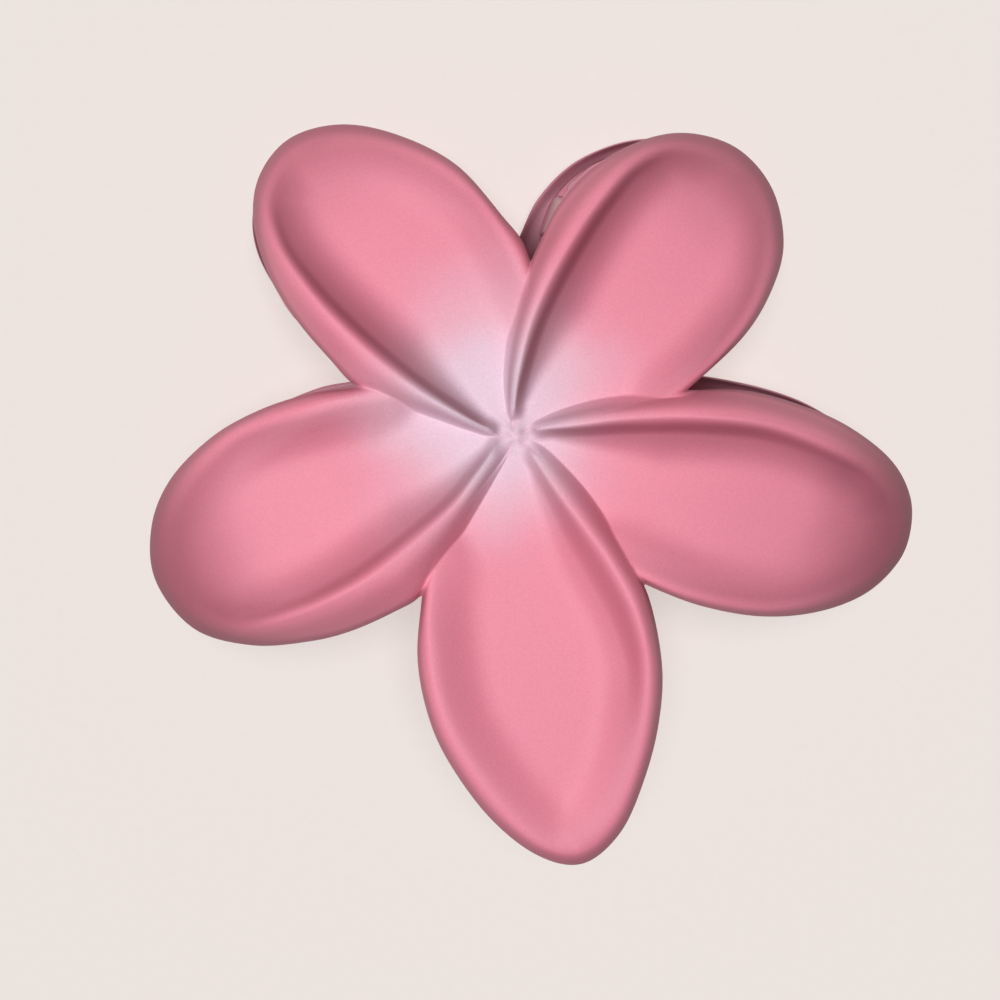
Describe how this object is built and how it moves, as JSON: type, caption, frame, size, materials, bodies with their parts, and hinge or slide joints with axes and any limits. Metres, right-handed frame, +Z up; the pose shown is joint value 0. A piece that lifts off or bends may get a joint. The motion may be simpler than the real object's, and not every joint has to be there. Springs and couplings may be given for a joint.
{
  "type": "flower hair clip",
  "caption": "Two-sided claw hair clip: mirrored pointed-petal flowers on hinged toothed jaws, closed by a torsion spring.",
  "frame": {"origin": "middle of the footprint, on the surface that the clip lies on with its rear flower down", "axes": "+X along the hinge, +Y from the lever petals towards the toothed jaw, +Z up out of the front flower"},
  "size_m": [0.0806, 0.0794, 0.0475],
  "materials": {
    "flower": "soft-touch matte pink, sprayed paler towards the middle",
    "claw": "satin dusty pink moulding",
    "steel": "drawn steel",
    "spring_wire": "spring steel wire"
  },
  "bodies": {
    "rear_half": {"rear_flower_cover": "flower", "rear_claw_frame": "claw", "hinge_pin": "steel", "pin_push_cap": "steel", "torsion_spring": "spring_wire"},
    "front_half": {"front_flower_cover": "flower", "front_claw_frame": "claw"}
  },
  "joints": [
    {"name": "clip_hinge", "type": "hinge", "parent": "rear_half", "child": "front_half", "pos_m": [-0.00219, -0.00446, 0.02094], "axis": [1, 0, 0], "range_deg": [0, 45], "stiffness_Nm_per_rad": 0.2, "springref_deg": -57.3, "deforming": ["torsion_spring"]}
  ]
}
